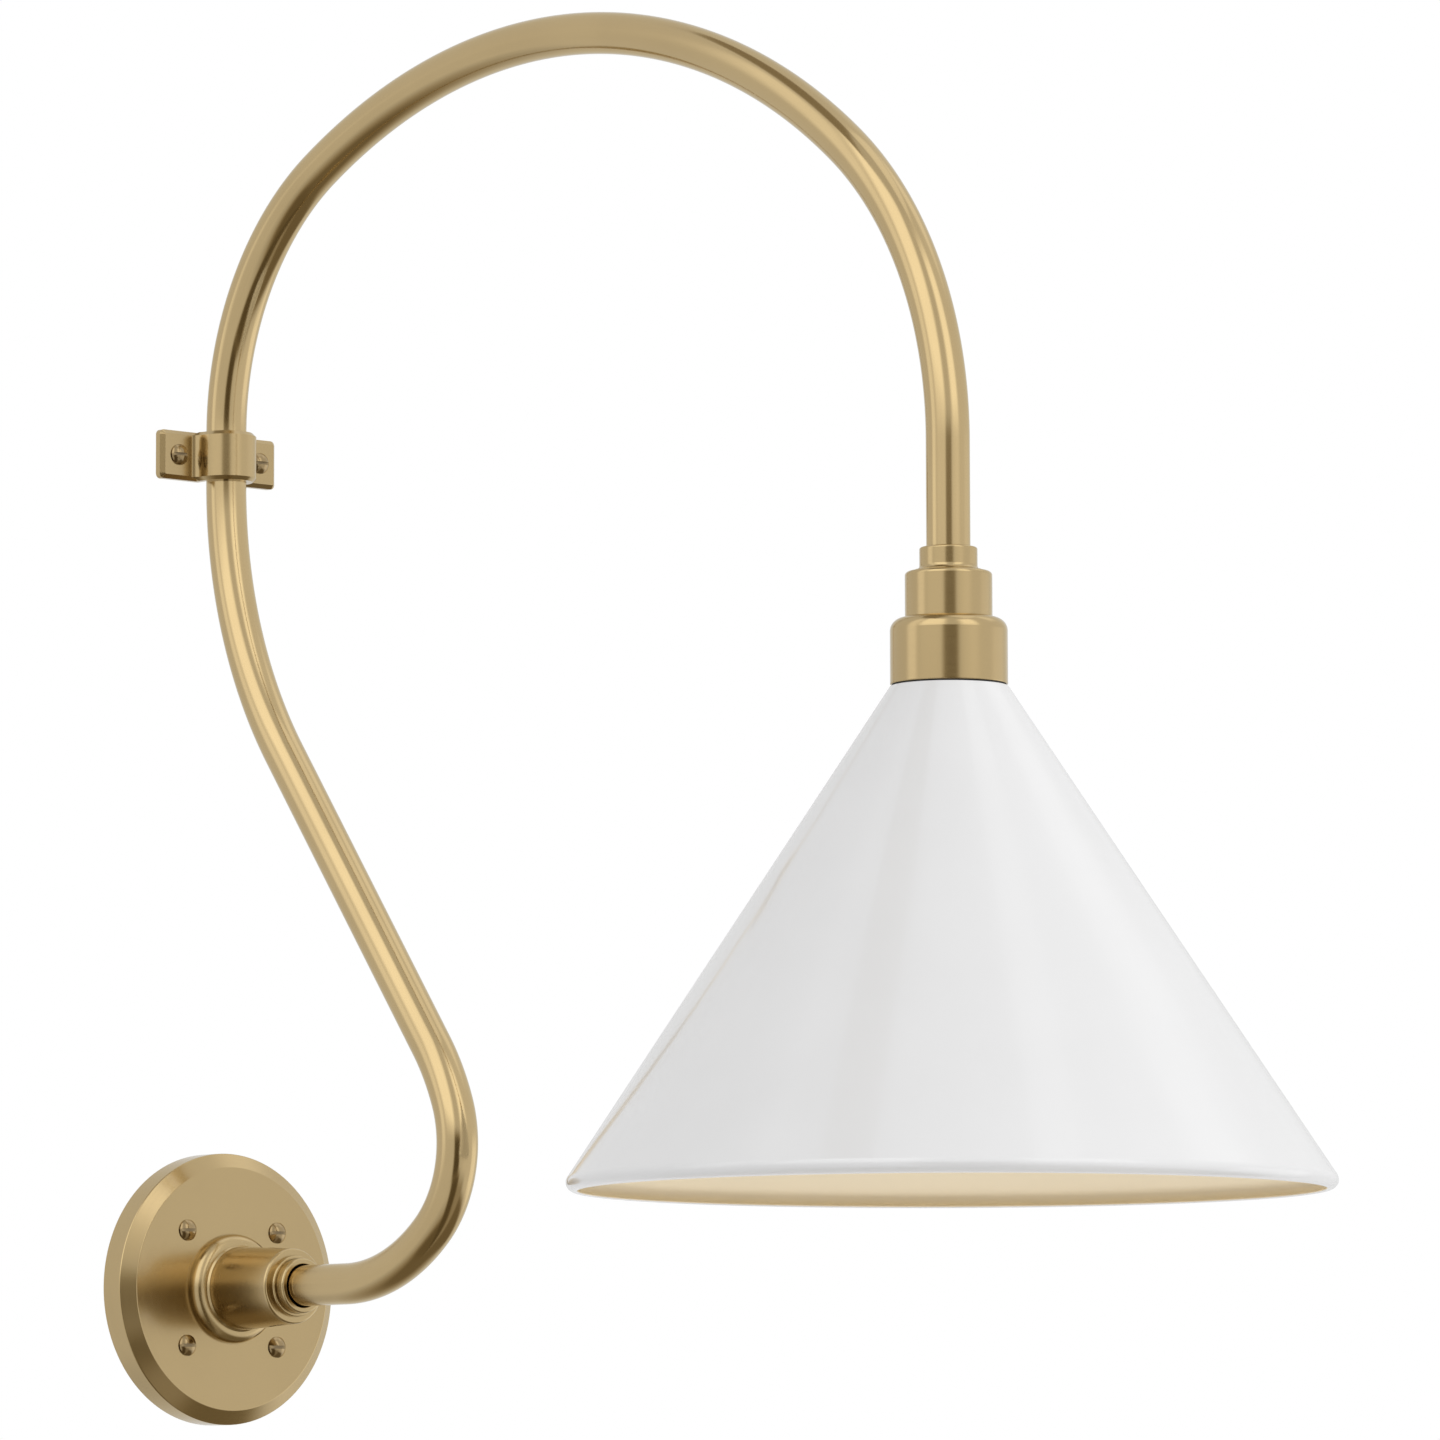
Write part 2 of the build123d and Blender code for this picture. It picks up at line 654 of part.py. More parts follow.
def bulb_filaments():
    """Upright light strips round the stem, leaning in towards the top."""
    number, out, long = STRIP_LIGHTS
    strips = []
    for step in range(number):
        lean = Rot(0, 0, (step + 0.5) * 360 / number) * Pos(out, 0, 0) * Rot(0, -6, 0)
        strips.append(at_shade(GLOBE_Z + 1) * lean * Pos(0, 0, -long / 2) * rod(0.9, long))
    return strips


# ---- wiring, all of it inside the light ----
def core_wire(side):
    """Insulated core: holder terminal, nipple, arm, stem, then sideways to its connector."""
    x = side * WIRE_OFFSET
    terminal_x = side * (TERMINAL_X - 3.8)
    holder_end = FilletPolyline(
        (x, TUBE_END_Z), (x, 258.5), (terminal_x, 252.5), (terminal_x, 246.5), radius=3.0
    )
    socket_end = FilletPolyline(
        (side * (CONNECTOR_X + 2), CAVITY_MID), (x, CAVITY_MID), (x, TUBE_START), radius=3.2
    )
    route = [
        *(WALL_TURN * socket_end).edges(),
        *(Pos(x, 0, 0) * (ARM_PLANE * Wire(ARM_ROUTE))).edges(),
        *(SHADE_PLANE * holder_end).edges(),
    ]
    return tube_along(Wire(route), WIRE_R)


def earth_wire():
    """Earth core from the screw on the mounting plate up to the socket's lock nut."""
    route = FilletPolyline(
        (3.6, -EARTH_DROP + 6), (3.6, -27), (8.0, -20), (8.0, -13.4), radius=4.0
    )
    return tube_along(ARM_PLANE * route, WIRE_R)


def earth_screw():
    return from_wall(0, STRAP_THICK, -EARTH_DROP) * slotted_screw(STRAP_THICK)


def wire_connectors():
    """Two twist-on caps behind the backplate, their mouths towards the stem."""
    cap = loft([Circle(4.2), Pos(0, 0, CONNECTOR_LONG) * Circle(3.0)])
    cap -= Pos(0, 0, -1) * rod(WIRE_R + FIT, 8)
    for step in range(8):
        rib = Pos(4.3, 0, 1) * rod(0.5, 6)
        cap += Rot(0, 0, step * 45) * rib
    place = [(-CONNECTOR_X, -90), (CONNECTOR_X, 90)]
    return [Pos(x, -CAVITY_MID, 0) * Rot(0, turn, 0) * cap for x, turn in place]


PARTS = {
    "backplate": backplate,
    "mounting_plate": mounting_plate,
    "plate_pillars": plate_pillars,
    "plate_screws": plate_screws,
    "arm_flange": arm_flange,
    "socket_ferrule": socket_ferrule,
    "flange_washer": flange_washer,
    "flange_lock_nut": flange_lock_nut,
    "arm_tube": arm_tube,
    "wall_saddle": wall_saddle,
    "saddle_screws": saddle_screws,
    "fitter_collar": fitter_collar,
    "fitter_body": fitter_body,
    "shade_cap": shade_cap,
    "shade_gasket": shade_gasket,
    "tube_end_bush": tube_end_bush,
    "hanger_nipple": hanger_nipple,
    "nipple_nuts": nipple_nuts,
    "lampholder_dome": lampholder_dome,
    "lampholder_body": lampholder_body,
    "screw_shell": screw_shell,
    "centre_contact": centre_contact,
    "terminal_screws": terminal_screws,
    "shade_ring": shade_ring,
    "shade": shade,
    "bulb_glass": bulb_glass,
    "bulb_base": bulb_base,
    "bulb_insulator": bulb_insulator,
    "bulb_contact": bulb_contact,
    "bulb_stem": bulb_stem,
    "bulb_filaments": bulb_filaments,
    "live_wire": lambda: core_wire(-1),
    "neutral_wire": lambda: core_wire(1),
    "earth_wire": earth_wire,
    "earth_screw": earth_screw,
    "wire_connectors": wire_connectors,
}

os.makedirs("parts", exist_ok=True)
print("reach", round(REACH, 2))
for name, build in PARTS.items():
    shape = build()
    if isinstance(shape, list):
        shape = Compound(children=[solid for piece in shape for solid in piece.solids()])
    export_step(shape, f"parts/{name}.step")
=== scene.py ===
"""Gooseneck wall light: the looks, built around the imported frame. Metres throughout.

The origin is the centre of the backplate on the wall plane, -Y points away from the wall and
+Z is up. The arm's middle line lies in the plane X = 0.
"""

import cmath
import json
import math

import bpy
from mathutils import Matrix, Vector


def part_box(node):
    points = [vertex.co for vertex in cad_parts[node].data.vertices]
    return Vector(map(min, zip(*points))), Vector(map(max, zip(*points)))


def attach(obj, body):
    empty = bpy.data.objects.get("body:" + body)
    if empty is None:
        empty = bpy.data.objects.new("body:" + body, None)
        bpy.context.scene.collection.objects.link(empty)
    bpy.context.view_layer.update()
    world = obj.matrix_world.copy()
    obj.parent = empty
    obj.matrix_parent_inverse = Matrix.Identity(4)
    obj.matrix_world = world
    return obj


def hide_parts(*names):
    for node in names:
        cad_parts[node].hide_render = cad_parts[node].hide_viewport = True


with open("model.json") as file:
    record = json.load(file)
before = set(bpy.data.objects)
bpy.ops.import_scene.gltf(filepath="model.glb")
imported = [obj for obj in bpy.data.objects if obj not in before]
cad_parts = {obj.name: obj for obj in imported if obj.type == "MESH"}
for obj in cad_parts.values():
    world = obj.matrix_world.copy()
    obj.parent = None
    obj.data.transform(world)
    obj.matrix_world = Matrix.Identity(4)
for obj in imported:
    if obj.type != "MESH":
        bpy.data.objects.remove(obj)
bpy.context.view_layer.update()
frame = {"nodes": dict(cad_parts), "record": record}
nodes = frame["nodes"]
MM = 0.001


def middle(node):
    low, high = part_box(node)
    return (low + high) / 2


# ---- sizes that the frame gives ----
SHADE_AXIS = middle("shade_cap").xy
SHADE_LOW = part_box("shade")[0].z
SHADE_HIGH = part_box("shade")[1].z
SADDLE_Z = middle("wall_saddle").z

# ---- arm route, as the frame has it ----
TUBE_R = 9.5 * MM
TUBE_BORE_R = 8.0 * MM
TUBE_START = 20.2 * MM
TUBE_OFF_WALL = 9.7 * MM
TUBE_END_Z = 294.0 * MM
SADDLE_RUN = 24.0 * MM
LOWER_BENDS = [(93.0, 41.0), (51.5, 70.0), (110.0, 16.0)]
WALL_BEND_R = 219.0
ARCH_BENDS = [(134.0, 61.0), (322.0, 69.0), (178.0, 50.0)]


FLAT_FACE_LEAD = 60


# ---- mesh helpers ----
def new_piece(name, points, faces, body, materials, replaced=()):
    """Mesh object from points and faces, on its body, with its materials."""
    mesh = bpy.data.meshes.new(name)
    mesh.from_pydata(points, [], faces)
    mesh.validate()
    for material in materials:
        mesh.materials.append(material)
    mesh.polygons.foreach_set("use_smooth", [True] * len(mesh.polygons))
    piece = bpy.data.objects.new(name, mesh)
    bpy.context.scene.collection.objects.link(piece)
    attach(piece, body)
    if replaced:
        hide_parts(*replaced)
    return piece


def keep_flats_flat(piece):
    """Shading normals that follow the larger faces, so that a small rounding stays crisp."""
    weighted = piece.modifiers.new("flat faces lead", "WEIGHTED_NORMAL")
    weighted.weight = FLAT_FACE_LEAD
    weighted.keep_sharp = True


def rounded_outline(corners, step=math.radians(7)):
    """Closed outline through corners (r, z) or (r, z, rounding radius), arcs cut into steps."""
    points = []
    for at, corner in enumerate(corners):
        here = complex(*corner[:2])
        if len(corner) == 2:
            points.append(here)
            continue
        before = complex(*corners[at - 1][:2]) - here
        after = complex(*corners[(at + 1) % len(corners)][:2]) - here
        before /= abs(before)
        after /= abs(after)
        half = abs(cmath.phase(after / before)) / 2
        start = before * corner[2] / math.tan(half)
        centre = here + (before + after) / abs(before + after) * corner[2] / math.sin(half)
        first = here + start - centre
        last = here + after * abs(start) - centre
        sweep = cmath.phase(last / first)
        count = max(2, round(abs(sweep) / step))
        points += [centre + first * cmath.exp(1j * sweep * n / count) for n in range(count + 1)]
    return points


def turned(corners, axis_at, around):
    """Points and faces of a solid turned about an upright axis, from a closed outline."""
    outline = rounded_outline(corners)
    points = []
    faces = []
    count = len(outline)
    for turn in range(around):
        angle = 2 * math.pi * turn / around
        across = Vector((math.cos(angle), math.sin(angle), 0))
        for corner in outline:
            points.append(Vector((*axis_at, corner.imag)) + across * corner.real)
        beside = (turn + 1) % around
        for at in range(count):
            after = (at + 1) % count
            here, there = turn * count, beside * count
            faces.append((here + at, there + at, there + after, here + after))
    return points, faces, outline


# ---- material helpers ----
FINE_RELIEF = 0.02 * MM  # height of brushing, peel and grain
CORNER_SAMPLES = 8


class Nodes:
    """Short ways to add the nodes of a material or of the world."""

    def __init__(self, tree):
        self.tree = tree

    def put(self, socket, value):
        """Links an output to an input, or sets the input to a plain value."""
        if isinstance(value, bpy.types.NodeSocket):
            self.tree.links.new(value, socket)
        else:
            socket.default_value = value

    def coordinate(self):
        return self.tree.nodes.new("ShaderNodeTexCoord").outputs["Object"]

    def attribute(self, name):
        node = self.tree.nodes.new("ShaderNodeAttribute")
        node.attribute_name = name
        return node.outputs["Vector"]

    def vector(self, operation, first, second=(0, 0, 0)):
        node = self.tree.nodes.new("ShaderNodeVectorMath")
        node.operation = operation
        self.put(node.inputs[0], first)
        if operation == "SCALE":
            self.put(node.inputs["Scale"], second)
        else:
            self.put(node.inputs[1], second)
        return node.outputs["Value" if operation in ("LENGTH", "DOT_PRODUCT") else "Vector"]

    def math(self, operation, first, second=0.0):
        node = self.tree.nodes.new("ShaderNodeMath")
        node.operation = operation
        self.put(node.inputs[0], first)
        self.put(node.inputs[1], second)
        return node.outputs[0]

    def noise(self, place, scale, detail, rough, w=None):
        node = self.tree.nodes.new("ShaderNodeTexNoise")
        self.put(node.inputs["Vector"], place)
        if w is not None:
            node.noise_dimensions = "4D"
            self.put(node.inputs["W"], w)
        node.inputs["Scale"].default_value = scale
        node.inputs["Detail"].default_value = detail
        node.inputs["Roughness"].default_value = rough
        return node.outputs["Fac"]

    def spread(self, value, low, high, new_low, new_high):
        """Value from low..high to new_low..new_high, held at the ends."""
        node = self.tree.nodes.new("ShaderNodeMapRange")
        for socket, number in zip(node.inputs, (value, low, high, new_low, new_high)):
            self.put(socket, number)
        return node.outputs["Result"]

    def mix(self, share, first, second):
        node = self.tree.nodes.new("ShaderNodeMix")
        node.data_type = "RGBA"
        self.put(node.inputs["Factor"], share)
        for socket, colour in (("A", first), ("B", second)):
            linked = isinstance(colour, bpy.types.NodeSocket)
            self.put(node.inputs[socket], colour if linked else (*colour, 1))
        return node.outputs["Result"]

    def bump(self, height, distance, strength):
        node = self.tree.nodes.new("ShaderNodeBump")
        self.put(node.inputs["Height"], height)
        node.inputs["Distance"].default_value = distance
        node.inputs["Strength"].default_value = strength
        return node.outputs["Normal"]

    def open_air(self, reach):
        """1 in the open, falling towards 0 in a corner or slot narrower than the reach."""
        node = self.tree.nodes.new("ShaderNodeAmbientOcclusion")
        node.samples = CORNER_SAMPLES
        node.inputs["Distance"].default_value = reach
        return node.outputs["AO"]


class Surface(Nodes):
    """A Principled material and the nodes that feed it."""

    def __init__(self, name, colour, metallic=0.0, roughness=0.5, **constants):
        self.material = bpy.data.materials.new(name)
        self.material.use_nodes = True
        super().__init__(self.material.node_tree)
        self.shader = self.tree.nodes["Principled BSDF"]
        self.shader.inputs["Base Color"].default_value = (*colour, 1)
        self.shader.inputs["Metallic"].default_value = metallic
        self.shader.inputs["Roughness"].default_value = roughness
        for socket, value in constants.items():
            self.shader.inputs[socket.replace("_", " ")].default_value = value

    def feed(self, name, value):
        self.put(self.shader.inputs[name], value)


def turning_marks(surface, axis_at, axis, around=5.0, across=2200.0):
    """Noise drawn out round an axis, as the marks of a lathe or a brush on a turned part."""
    place = surface.vector("SUBTRACT", surface.coordinate(), axis_at)
    flat = surface.vector("MULTIPLY", place, [0 if n == axis else 1 for n in range(3)])
    along = surface.vector("MULTIPLY", place, [across if n == axis else 0 for n in range(3)])
    heading = surface.vector("SCALE", surface.vector("NORMALIZE", flat), around)
    radius = surface.math("MULTIPLY", surface.vector("LENGTH", flat), across)
    return surface.noise(surface.vector("ADD", heading, along), 1.0, 3.0, 0.6, w=radius)


def length_marks(surface, across=2800.0, along=20.0):
    """Noise drawn out along the arm, from the attribute that holds the arm pulled straight."""
    place = surface.vector("MULTIPLY", surface.attribute("straightened"), (across, across, along))
    return surface.noise(place, 1.0, 3.0, 0.6)


# brass reflectances: face, tube, worn streaks, grazing edge, painted shade and patina in corners,
# screws
BRASS = (0.525, 0.385, 0.178)
BRASS_BRIGHT = (0.575, 0.425, 0.202)
BRASS_DEEP = (0.42, 0.300, 0.135)
BRASS_EDGE = (0.80, 0.72, 0.52)
BRASS_CORNER_SHADE = (0.11, 0.075, 0.032)
BRASS_SCREW = (0.37, 0.26, 0.115)
BRASS_SCREW_DEEP = (0.24, 0.16, 0.06)


def lacquered_brass(name, marks, rough=0.17, tone=BRASS, deep=BRASS_DEEP, corners=0.5,
                    reach=2 * MM):
    """Satin antique brass: brushed under a thin lacquer, its corners darkened by painted shade and
    patina.
    """
    surface = Surface(name, tone, metallic=1.0, roughness=rough, Specular_Tint=(*BRASS_EDGE, 1),
                      Coat_Weight=0.9, Coat_Roughness=0.12)
    streaks = marks(surface)
    cloud = surface.noise(surface.coordinate(), 20.0, 3.0, 0.5)
    colour = surface.mix(surface.spread(cloud, 0.35, 0.75, 0.0, 0.22), tone, deep)
    colour = surface.mix(surface.spread(streaks, 0.3, 0.7, 0.0, 0.10), colour, deep)
    # painted shade and patina: darker where ambient occlusion finds a corner, slot or gap within
    # reach
    corner = surface.spread(surface.open_air(reach), 0.2, 0.75, corners, 0.0)
    surface.feed("Base Color", surface.mix(corner, colour, BRASS_CORNER_SHADE))
    scatter = surface.spread(streaks, 0.25, 0.75, rough - 0.03, rough + 0.04)
    scatter = surface.math("ADD", scatter, surface.spread(cloud, 0.3, 0.7, -0.01, 0.015))
    surface.feed("Roughness", scatter)
    surface.feed("Normal", surface.bump(streaks, FINE_RELIEF, 0.06))
    return surface.material


def shade_axis_marks(surface):
    return turning_marks(surface, (*SHADE_AXIS, 0), axis=2)


def wall_axis_marks(surface):
    return turning_marks(surface, (0, 0, 0), axis=1)


SADDLE_ALONG = 40.0
SADDLE_ACROSS = 3200.0


def straight_marks(surface):
    """Marks of a belt drawn along the wall, on the saddle."""
    stretch = (SADDLE_ALONG, SADDLE_ACROSS, SADDLE_ACROSS)
    place = surface.vector("MULTIPLY", surface.coordinate(), stretch)
    return surface.noise(place, 1.0, 3.0, 0.6)


brass_plate = lacquered_brass("brass_plate", wall_axis_marks, rough=0.22)
brass_socket = lacquered_brass("brass_socket", wall_axis_marks, rough=0.24, corners=0.3)
brass_tube = lacquered_brass("brass_tube", length_marks, rough=0.14, tone=BRASS_BRIGHT)
brass_saddle = lacquered_brass("brass_saddle", straight_marks, rough=0.20)
brass_fitter = lacquered_brass("brass_fitter", shade_axis_marks)
# screws: full painted shade and patina within 5 mm, darkening slots and heads towards the plate
brass_screw = lacquered_brass("brass_screw", wall_axis_marks, rough=0.15, tone=BRASS_SCREW,
                              deep=BRASS_SCREW_DEEP, corners=1.0, reach=5 * MM)


PEEL_GRAIN = 520.0
ENAMEL_SHIFT = 0.975
PLAIN_GRAIN = 900.0
PLAIN_SHIFT = 0.12


def enamel(name, colour, rough, coat):
    """Sprayed enamel with a faint unevenness in its gloss."""
    surface = Surface(name, colour, roughness=rough, Coat_Weight=coat, Coat_Roughness=0.04,
                      Coat_IOR=1.65)
    peel = surface.noise(surface.coordinate(), PEEL_GRAIN, 2.0, 0.5)
    cloud = surface.noise(surface.coordinate(), 18.0, 2.0, 0.5)
    tone = surface.spread(cloud, 0.3, 0.7, 0.0, 1.0)
    surface.feed("Base Color", surface.mix(tone, colour, [part * ENAMEL_SHIFT for part in colour]))
    surface.feed("Roughness", surface.spread(cloud, 0.3, 0.7, rough - 0.03, rough + 0.03))
    surface.feed("Normal", surface.bump(peel, FINE_RELIEF, 0.35))
    return surface.material


shade_white = enamel("shade_white", (0.755, 0.755, 0.76), 0.20, 0.7)
shade_cream = enamel("shade_cream", (0.83, 0.73, 0.55), 0.42, 0.0)


def plain(name, colour, rough, metallic=0.0):
    """Moulded, plated or machined stuff with a fine grain and a slight change of tone."""
    surface = Surface(name, colour, metallic, rough)
    fine = surface.noise(surface.coordinate(), PLAIN_GRAIN, 2.0, 0.6)
    cloud = surface.noise(surface.coordinate(), 60.0, 2.0, 0.5)
    dark = [part * (1 - PLAIN_SHIFT) for part in colour]
    surface.feed("Base Color", surface.mix(surface.spread(cloud, 0.3, 0.7, 0.0, 1.0), colour, dark))
    surface.feed("Roughness", surface.spread(fine, 0.3, 0.7, rough - 0.05, rough + 0.05))
    surface.feed("Normal", surface.bump(fine, FINE_RELIEF, 0.5))
    return surface.material


zinc_steel = plain("zinc_steel", (0.58, 0.59, 0.60), 0.36, 1.0)
green_steel = plain("green_steel", (0.05, 0.25, 0.08), 0.35, 0.6)
raw_brass = plain("raw_brass", (0.74, 0.56, 0.27), 0.27, 1.0)
nickel = plain("nickel", (0.70, 0.69, 0.66), 0.24, 1.0)
solder_tin = plain("solder_tin", (0.55, 0.55, 0.55), 0.40, 1.0)
black_rubber = plain("black_rubber", (0.018, 0.018, 0.018), 0.75)
black_phenolic = plain("black_phenolic", (0.020, 0.019, 0.018), 0.33)
connector_nylon = plain("connector_nylon", (0.70, 0.36, 0.04), 0.45)
black_sleeve = plain("black_sleeve", (0.020, 0.020, 0.020), 0.45)
white_sleeve = plain("white_sleeve", (0.72, 0.72, 0.70), 0.45)
green_sleeve = plain("green_sleeve", (0.05, 0.26, 0.07), 0.45)
light_strip = plain("light_strip", (0.90, 0.62, 0.16), 0.55)


def clear(name, tint):
    surface = Surface(name, tint, roughness=0.03, Transmission_Weight=1.0, IOR=1.45)
    ripple = surface.noise(surface.coordinate(), 45.0, 1.0, 0.4)
    surface.feed("Roughness", surface.spread(ripple, 0.3, 0.7, 0.02, 0.05))
    surface.feed("Normal", surface.bump(ripple, 0.0002, 0.12))
    return surface.material


bulb_glass = clear("bulb_glass", (0.97, 0.97, 0.96))
clear_glass = clear("clear_glass", (0.93, 0.96, 0.95))

FINISHES = {
    "brass_plate": brass_plate,
    "brass_socket": brass_socket,
    "brass_tube": brass_tube,
    "brass_saddle": brass_saddle,
    "brass_fitter": brass_fitter,
    "brass_screw": brass_screw,
    "raw_brass": raw_brass,
    "zinc_steel": zinc_steel,
    "green_steel": green_steel,
    "nickel": nickel,
    "solder_tin": solder_tin,
    "white_enamel": shade_white,
    "black_rubber": black_rubber,
    "black_phenolic": black_phenolic,
    "connector_nylon": connector_nylon,
    "black_sleeve": black_sleeve,
    "white_sleeve": white_sleeve,
    "green_sleeve": green_sleeve,
    "bulb_glass": bulb_glass,
    "clear_glass": clear_glass,
    "light_strip": light_strip,
}
for row in frame["record"]["subparts"]:
    for cad_slot in nodes[row["node"]].material_slots:
        cad_slot.material = FINISHES[row["material_slot"]]


# ---- arm ----
def arc(start, heading, radius, degrees, step=2.5 * MM):
    """Points and headings along a tangent arc that turns left by degrees, or right if negative."""
    side = math.copysign(1, degrees)
    centre = start + 1j * side * heading * radius
    count = max(2, math.ceil(abs(math.radians(degrees)) * radius / step))
    turns = [cmath.exp(1j * math.radians(degrees) * n / count) for n in range(count + 1)]
    return [(centre + (start - centre) * turn, heading * turn) for turn in turns]


def bends(start, heading, chain, side):
    stations = [(start, heading)]
    for radius, degrees in chain:
        stations += arc(*stations[-1], radius * MM, side * degrees)[1:]
    return stations


def straight(start, end, step=6 * MM):
    count = max(2, math.ceil(abs(end - start) / step))
    heading = (end - start) / abs(end - start)
    return [(start + (end - start) * n / count, heading) for n in range(count + 1)]


def arm_stations():
    """(place, heading) along the arm, socket to fitter; real is distance from the wall."""
    low = complex(TUBE_OFF_WALL, SADDLE_Z - SADDLE_RUN / 2)
    high = complex(TUBE_OFF_WALL, SADDLE_Z + SADDLE_RUN / 2)
    swing = sum(degrees for _, degrees in LOWER_BENDS) - 90
    wall_bend = arc(low, -1j, WALL_BEND_R * MM, swing)
    slant_top, slant_down = wall_bend[-1]
    lower = bends(0j, 1 + 0j, LOWER_BENDS, 1)
    rise = (slant_top - lower[-1][0]).imag
    slant_end = slant_top + slant_down * (rise / -slant_down.imag)
    shift = complex((slant_end - lower[-1][0]).real, 0)
    lower = [(place + shift, heading) for place, heading in lower]
    arch = bends(high, 1j, ARCH_BENDS, -1)
    last = arch[-1][0]
    back_up = [(place, -heading) for place, heading in reversed(wall_bend)]
    return [
        *straight(complex(TUBE_START, 0), shift)[:-1],
        *lower,
        *straight(slant_end, slant_top)[1:-1],
        *back_up,
        *straight(low, high)[1:-1],
        *arch,
        *straight(last, complex(last.real, TUBE_END_Z))[1:],
    ]


def arm_mesh(around=72):
    """Tube swept along the arm, bored right through, and its points on the arm pulled straight."""
    stations = arm_stations()
    points = []
    pulled = []
    for radius in (TUBE_R, TUBE_BORE_R):
        run = 0.0
        for at, (place, heading) in enumerate(stations):
            if at:
                run += abs(place - stations[at - 1][0])
            centre = Vector((0, -place.real, place.imag))
            outward = Vector((0, heading.imag, heading.real))
            for turn in range(around):
                angle = 2 * math.pi * turn / around
                x, up = radius * math.cos(angle), radius * math.sin(angle)
                points.append(centre + Vector((x, 0, 0)) + outward * up)
                pulled.append((x, up, run))
    count = len(stations)
    faces = []
    for wall in range(2):
        for at in range(count - 1):
            first = (wall * count + at) * around
            for turn in range(around):
                beside = (turn + 1) % around
                next_first = first + around
                ring = (first + turn, first + beside, next_first + beside, next_first + turn)
                faces.append(ring if wall else ring[::-1])
    for end in (0, count - 1):
        outer = end * around
        inner = (count + end) * around
        for turn in range(around):
            beside = (turn + 1) % around
            ring = (outer + turn, outer + beside, inner + beside, inner + turn)
            faces.append(ring[::-1] if end else ring)
    return points, faces, pulled


arm_points, arm_faces, arm_pulled = arm_mesh()
arm = new_piece("arm_tube_swept", arm_points, arm_faces, "fixture", [brass_tube], ["arm_tube"])
pulled_straight = arm.data.attributes.new("straightened", "FLOAT_VECTOR", "POINT")
pulled_straight.data.foreach_set("vector", [part for point in arm_pulled for part in point])
arm.data.set_sharp_from_angle(angle=math.radians(60))


# ---- shade ----
SHADE_TURNS = 256
SHADE_TOP_R = 25.3 * MM
SHADE_WALL = 1.2 * MM
SHADE_HOLE_R = 20.5 * MM
SHADE_ANGLE = math.radians(33.4)
RIM_ROUND = 4.0 * MM
RIM_TURN_IN = 8.4 * MM
LIP_ROUND = 0.55 * MM
HOLE_EDGE_FACES = 3  # faces at the end of the outline, round the hole, that stay white


def cone_r(z, inset=0.0):
    return SHADE_TOP_R + (SHADE_HIGH - z) * math.tan(SHADE_ANGLE) - inset / math.cos(SHADE_ANGLE)


def shade_piece():
    """White cone outside, cream inside from the edge of its turned-in rim."""
    lip_r = cone_r(SHADE_LOW) - RIM_TURN_IN
    inner_low = SHADE_LOW + SHADE_WALL
    inner_high = SHADE_HIGH - SHADE_WALL
    corners = [
        (SHADE_HOLE_R, SHADE_HIGH, 0.3 * MM),
        (SHADE_TOP_R, SHADE_HIGH, 0.8 * MM),
        (cone_r(SHADE_LOW), SHADE_LOW, RIM_ROUND),
        (lip_r, SHADE_LOW, LIP_ROUND),
        (lip_r, inner_low, LIP_ROUND),
        (cone_r(inner_low, SHADE_WALL), inner_low, RIM_ROUND - SHADE_WALL),
        (cone_r(inner_high, SHADE_WALL), inner_high, 0.6 * MM),
        (SHADE_HOLE_R, inner_high, 0.3 * MM),
    ]
    points, faces, outline = turned(corners, SHADE_AXIS, SHADE_TURNS)
    enamels = [shade_white, shade_cream]
    piece = new_piece("shade_spun", points, faces, "shade_body", enamels, ["shade"])
    count = len(outline)
    lip_middle = complex(lip_r, SHADE_LOW + SHADE_WALL / 2)
    lip = min(range(count), key=lambda n: abs(outline[n] - lip_middle))
    inside = [lip <= at % count < count - HOLE_EDGE_FACES for at in range(len(faces))]
    piece.data.polygons.foreach_set("material_index", [int(cream) for cream in inside])
    keep_flats_flat(piece)


shade_piece()


# ---- stage, light and camera ----
VIEW_TURN = math.radians(-42.0)
VIEW_RISE = math.radians(-5.87)
VIEW_ROLL = math.radians(-0.15)
VIEW_DISTANCE = 3.89855
VIEW_AT = Vector((0.09777, -0.250, 0.25607))
LENS = 212.5


def away(turn, rise):
    """Unit vector that points from the object to a viewer or light at that azimuth and height."""
    flat = math.cos(rise)
    return Vector((math.sin(turn) * flat, -math.cos(turn) * flat, math.sin(rise)))


def put_camera():
    data = bpy.data.cameras.new("camera")
    data.lens = LENS
    data.sensor_width = 36.0
    data.clip_start = 0.05
    data.clip_end = 60.0
    camera = bpy.data.objects.new("camera", data)
    bpy.context.scene.collection.objects.link(camera)
    back = away(VIEW_TURN, VIEW_RISE)
    level = Vector((math.cos(VIEW_TURN), math.sin(VIEW_TURN), 0))
    up = back.cross(level)
    right = level * math.cos(VIEW_ROLL) + up * math.sin(VIEW_ROLL)
    up = back.cross(right)
    place = VIEW_AT + back * VIEW_DISTANCE
    camera.matrix_world = Matrix((
        (right.x, up.x, back.x, place.x),
        (right.y, up.y, back.y, place.y),
        (right.z, up.z, back.z, place.z),
        (0, 0, 0, 1),
    ))
    bpy.context.scene.camera = camera


def put_panel(name, back, target, distance, size, power):
    """Square soft box that faces the target from a direction and is not seen in the brass."""
    data = bpy.data.lights.new(name, "AREA")
    data.size = size
    data.energy = power
    panel = bpy.data.objects.new(name, data)
    bpy.context.scene.collection.objects.link(panel)
    panel.location = target + back * distance
    panel.rotation_euler = back.to_track_quat("Z", "Y").to_euler()
    panel.visible_glossy = False


